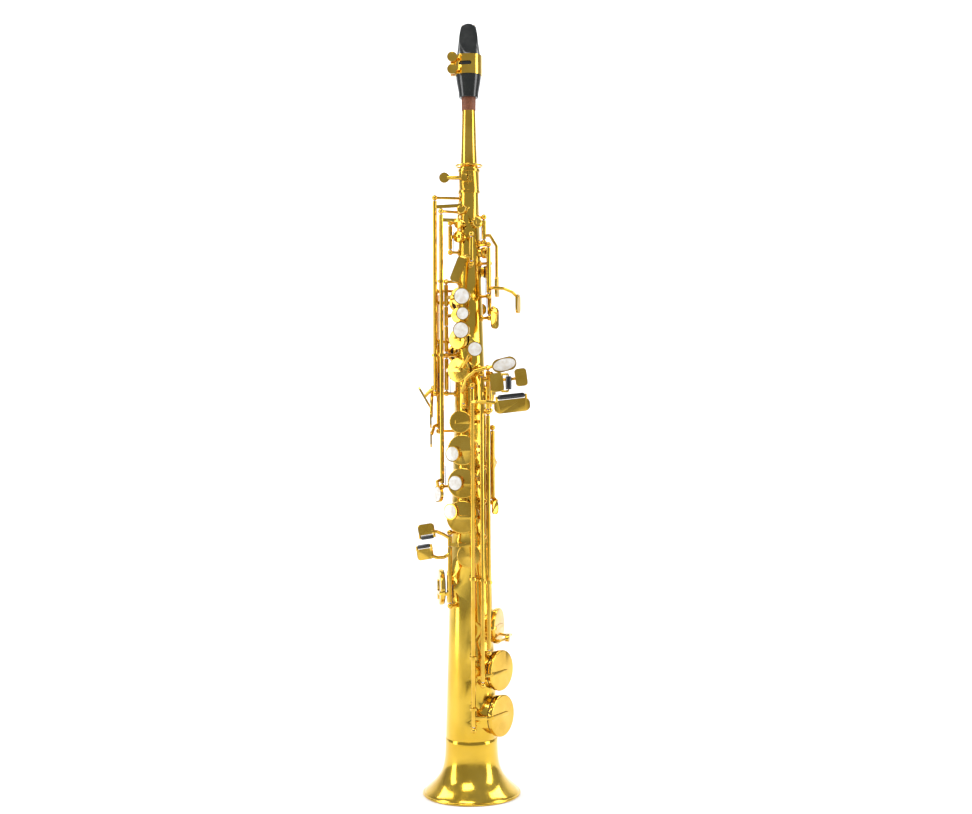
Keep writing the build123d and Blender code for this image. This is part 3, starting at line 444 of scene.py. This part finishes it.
def pearl_dome(node):
    """Dome height = crown times (1 - distance squared), over a straight side."""
    centre, (axis, second, first), (depth, short, long) = main_directions(node)
    axis = axis if axis[1] < 0 else -axis
    s = np.linspace(1, 0, 14)[:-1]
    crown, chamfer, pole, inset = 0.4 * MM, 0.2 * MM, 1e-6, 0.96
    top = depth / 2 - crown
    dome = np.stack([s * short / 2, top + crown * (1 - s ** 2)], -1)
    edge = np.array([[short / 2 * inset, -depth / 2], [short / 2, -depth / 2 + chamfer]])
    profile = np.vstack([edge, dome, [[pole, top + crown]]])
    shape = set_about(profile, centre, axis, first, second, (long / short, 1.0))
    return grid_piece(f"{node}_dome", shape, PEARL, body_of[node], "pearl", node, smooth_angle=50)


def roller_barrel(node):
    """Barrel radius = full radius * (1 - belly * distance from the middle squared)."""
    centre, (second, first, axis), (short, _, long) = main_directions(node)
    s = np.linspace(-1, 1, 21)
    end, belly, round_off, hole = 0.93, 0.04, 0.09, 0.66 * MM
    body_end, hole_end = 0.995, 0.97
    radius = short / 2 * (1 - belly * s ** 2)
    radius -= short * round_off * np.clip(np.abs(s) - end, 0, 1) / (1 - end)
    outer = np.stack([radius, s * long / 2 * body_end], -1)
    profile = np.vstack([outer, [[hole, long / 2 * hole_end]], [[hole, -long / 2 * hole_end]]])
    shape = set_about(profile, centre, axis, first, second)
    return grid_piece(f"{node}_barrel", shape, PLASTIC, body_of[node], "roller", node,
                      smooth_angle=50, loop=True)


for node in sorted(nodes):
    if node.endswith("_pearl"):
        pearl_dome(node)
    if node.endswith("_roller"):
        roller_barrel(node)
print("pearls and rollers", sum(node.endswith(("_pearl", "_roller")) for node in nodes))

# %% [markdown]
# ## Floor and light
# The instrument stands on a pale floor that curves up into a pale wall behind it. Two large soft
# lights at the sides give every tube a bright edge on its left and right, and the open space in front
# stays darker, so that a round rod shows a dark middle line.

# %% The stage
PAPER_COLOUR, PAPER_ROUGHNESS = (0.93, 0.93, 0.93, 1), 0.9


def make_stage():
    """A floor that turns up into a wall by a quarter circle, carried along X."""
    turn = np.linspace(0, math.pi / 2, 16)
    reach, bend, far = 1.2, 0.5, 3.0
    y = np.concatenate([[-far, 0.0], reach + bend * np.sin(turn), [reach + bend]])
    z = np.concatenate([[0.0, 0.0], bend - bend * np.cos(turn), [far]])
    x = np.array([-far, far])
    grid = np.stack(np.broadcast_arrays(x[None, :], y[:, None], z[:, None]), -1)
    n = len(y)
    i = np.arange(n - 1)
    quads = np.stack([2 * i, 2 * i + 1, 2 * i + 3, 2 * i + 2], -1)
    mesh = bpy.data.meshes.new("stage")
    mesh.from_pydata(grid.reshape(-1, 3).tolist(), [], quads.tolist())
    mesh.shade_smooth()
    stage = bpy.data.objects.new("stage", mesh)
    bpy.context.scene.collection.objects.link(stage)
    paper = bpy.data.materials.new("pale paper")
    paper.use_nodes = True
    shader = paper.node_tree.nodes["Principled BSDF"]
    shader.inputs["Base Color"].default_value = PAPER_COLOUR
    shader.inputs["Roughness"].default_value = PAPER_ROUGHNESS
    mesh.materials.append(paper)


def soft_light(name, place, target, size, power):
    """A rectangular area light at place that looks at target."""
    data = bpy.data.lights.new(name, "AREA")
    data.shape, data.size, data.size_y, data.energy = "RECTANGLE", size[0], size[1], power
    lamp = bpy.data.objects.new(name, data)
    lamp.location = place
    lamp.rotation_euler = (Vector(target) - Vector(place)).to_track_quat("-Z", "Y").to_euler()
    bpy.context.scene.collection.objects.link(lamp)


make_stage()
MIDDLE, WALL = (0, 0, 0.36), (0, 1.7, 0.6)
TALL, WIDE, SQUARE = (0.45, 1.5), (0.8, 0.6), (1.0, 1.0)
LIGHTS = {
    "left": ((-1.3, -0.35, 0.5), MIDDLE, TALL, 9),
    "right": ((1.3, -0.35, 0.5), MIDDLE, TALL, 10),
    "above": ((-0.3, -0.9, 1.7), MIDDLE, WIDE, 9),
    "wall left": ((-0.9, 0.5, 1.6), WALL, SQUARE, 17),
    "wall right": ((0.9, 0.5, 1.6), WALL, SQUARE, 17),
}
for name, settings in LIGHTS.items():
    soft_light(name, *settings)
SKY_COLOUR, SKY_STRENGTH = (0.9, 0.93, 1.0, 1), 0.4
world = bpy.data.worlds.new("studio")
world.use_nodes = True
world.node_tree.nodes["Background"].inputs["Color"].default_value = SKY_COLOUR
world.node_tree.nodes["Background"].inputs["Strength"].default_value = SKY_STRENGTH
bpy.context.scene.world = world
bpy.context.scene.view_settings.view_transform = "Standard"
